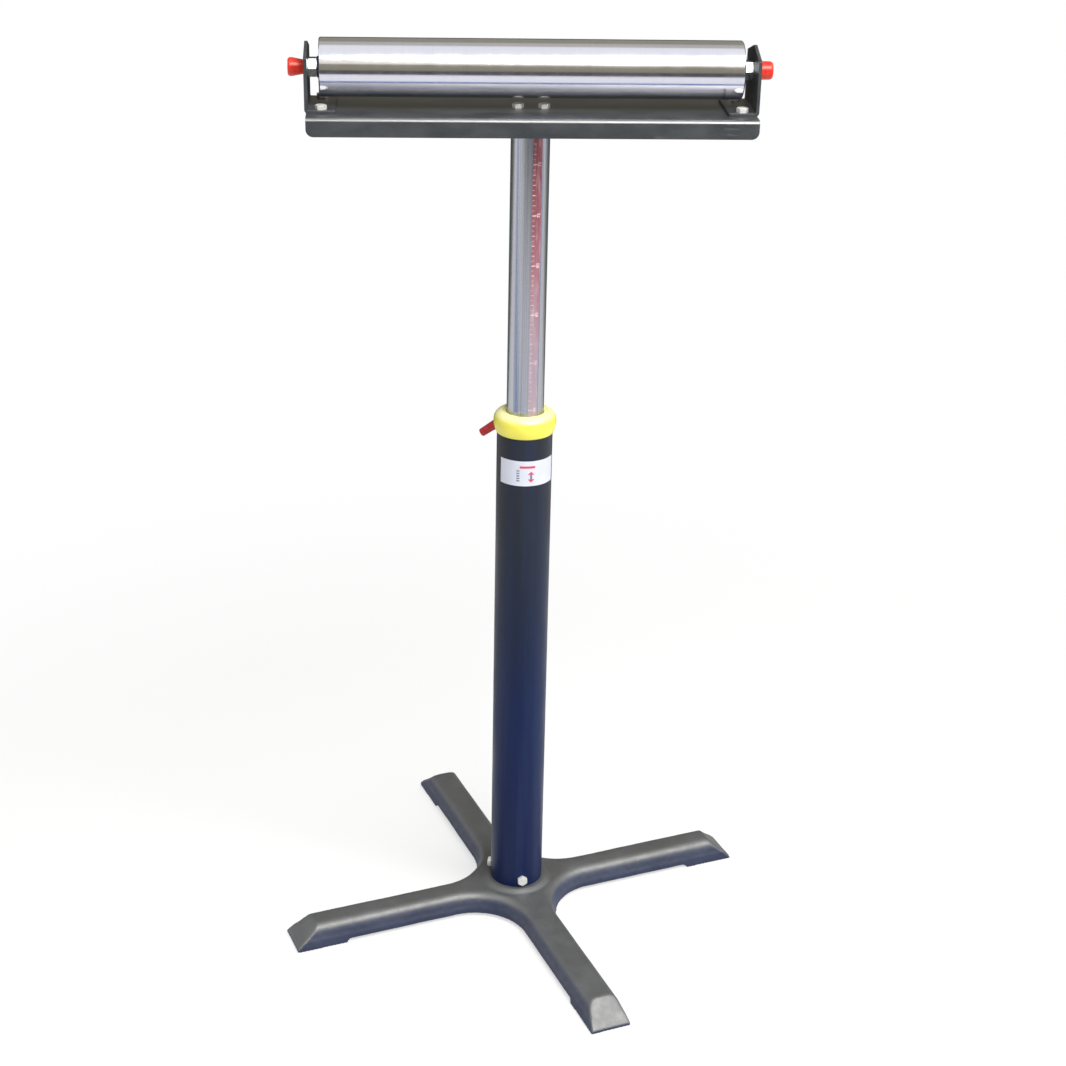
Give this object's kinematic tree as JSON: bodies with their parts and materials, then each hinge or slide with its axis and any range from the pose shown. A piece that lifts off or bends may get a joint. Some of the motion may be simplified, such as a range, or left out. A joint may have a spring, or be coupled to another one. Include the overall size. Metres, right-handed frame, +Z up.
{
  "type": "roller stand",
  "caption": "Height-adjustable roller stand: cross foot, clamped telescopic column and a channel head with a steel roller on ball bearings.",
  "frame": {"origin": "on the floor under the axis of the column, at the centre of the four feet", "axes": "+Z up along the column, +X along the roller's axis towards its right-hand end, -Y towards the side that the label faces"},
  "size_m": [0.5102, 0.5102, 0.956],
  "materials": {
    "cast_iron_paint": "rough cast iron under thin semi-gloss dark grey paint",
    "column_paint": "satin blue-black enamel",
    "black_paint": "semi-gloss black enamel on sheet steel",
    "roller_chrome": "bright zinc or chrome plated tube with fine turning lines",
    "mast_steel": "drawn bright tube with lengthwise streaks",
    "turned_steel": "turned steel",
    "bearing_steel": "ground bearing steel",
    "zinc_bolt": "bright zinc plate",
    "dark_steel": "blackened steel",
    "brass": "plain brass",
    "yellow_plastic": "glossy moulded plastic",
    "red_plastic": "soft glossy vinyl",
    "red_lever_plastic": "moulded nylon, slightly rough",
    "black_nylon": "moulded nylon",
    "white_nylon": "natural nylon",
    "label_film": "blank white vinyl sticker",
    "scale_film": "printed film with plain numbers"
  },
  "bodies": {
    "base": {"base_casting": "cast_iron_paint", "outer_tube": "column_paint", "column_bolts": "zinc_bolt", "guide_bush": "black_nylon", "top_collar": "yellow_plastic", "label": "label_film", "clamp_boss": "column_paint"},
    "clamp_pad": {"pressure_pad": "brass"},
    "clamp_screw": {"clamp_screw": "zinc_bolt", "clamp_lever": "red_lever_plastic", "lever_screw": "dark_steel"},
    "lift_glide": {"lower_glide": "white_nylon"},
    "mast": {"inner_tube": "mast_steel", "tube_end_cap": "black_nylon", "glide_stop_ring": "dark_steel", "height_scale": "scale_film", "top_plug": "turned_steel", "channel_beam": "black_paint", "centre_bolts": "zinc_bolt", "left_bracket": "black_paint", "right_bracket": "black_paint", "bracket_bolts": "zinc_bolt", "bracket_washers": "zinc_bolt", "bracket_nuts": "zinc_bolt", "axle": "turned_steel", "left_axle_nut": "zinc_bolt", "right_axle_nut": "zinc_bolt", "left_axle_washer": "dark_steel", "right_axle_washer": "dark_steel", "left_axle_cap": "red_plastic", "right_axle_cap": "red_plastic", "left_bearing_inner": "bearing_steel", "right_bearing_inner": "bearing_steel"},
    "roller": {"roller_tube": "roller_chrome", "left_end_housing": "turned_steel", "right_end_housing": "turned_steel", "left_bearing_outer": "bearing_steel", "right_bearing_outer": "bearing_steel", "left_bearing_shields": "dark_steel", "right_bearing_shields": "dark_steel"},
    "left_bearing_cage": {"left_ball_set": "bearing_steel", "left_ball_cage": "brass"},
    "right_bearing_cage": {"right_ball_set": "bearing_steel", "right_ball_cage": "brass"}
  },
  "joints": [
    {"name": "mast_lift", "type": "slide", "parent": "base", "child": "lift_glide", "axis": [0, 0, 1], "range_m": [-0.255, 0.12]},
    {"name": "mast_swivel", "type": "hinge", "parent": "lift_glide", "child": "mast", "pos_m": [0, 0, 0.6], "axis": [0, 0, 1], "continuous": true},
    {"name": "roller_spin", "type": "hinge", "parent": "mast", "child": "roller", "pos_m": [0, 0, 0.9285], "axis": [1, 0, 0], "continuous": true},
    {"name": "left_cage_spin", "type": "hinge", "parent": "mast", "child": "left_bearing_cage", "pos_m": [-0.1955, 0, 0.9285], "axis": [1, 0, 0], "continuous": true},
    {"name": "right_cage_spin", "type": "hinge", "parent": "mast", "child": "right_bearing_cage", "pos_m": [0.1955, 0, 0.9285], "axis": [1, 0, 0], "continuous": true},
    {"name": "clamp_feed", "type": "slide", "parent": "base", "child": "clamp_pad", "axis": [-0.0872, 0.9962, 0], "range_m": [0, 0.0016]},
    {"name": "clamp_turn", "type": "hinge", "parent": "clamp_pad", "child": "clamp_screw", "pos_m": [-0.00418, 0.04782, 0.565], "axis": [-0.0872, 0.9962, 0], "range_deg": [0, 360]}
  ],
  "couplings": [
    {"joint": "left_cage_spin", "follows": "roller_spin", "ratio": 0.62},
    {"joint": "right_cage_spin", "follows": "roller_spin", "ratio": 0.62},
    {"joint": "clamp_feed", "follows": "clamp_turn", "m_per_rad": 0.00023873}
  ]
}
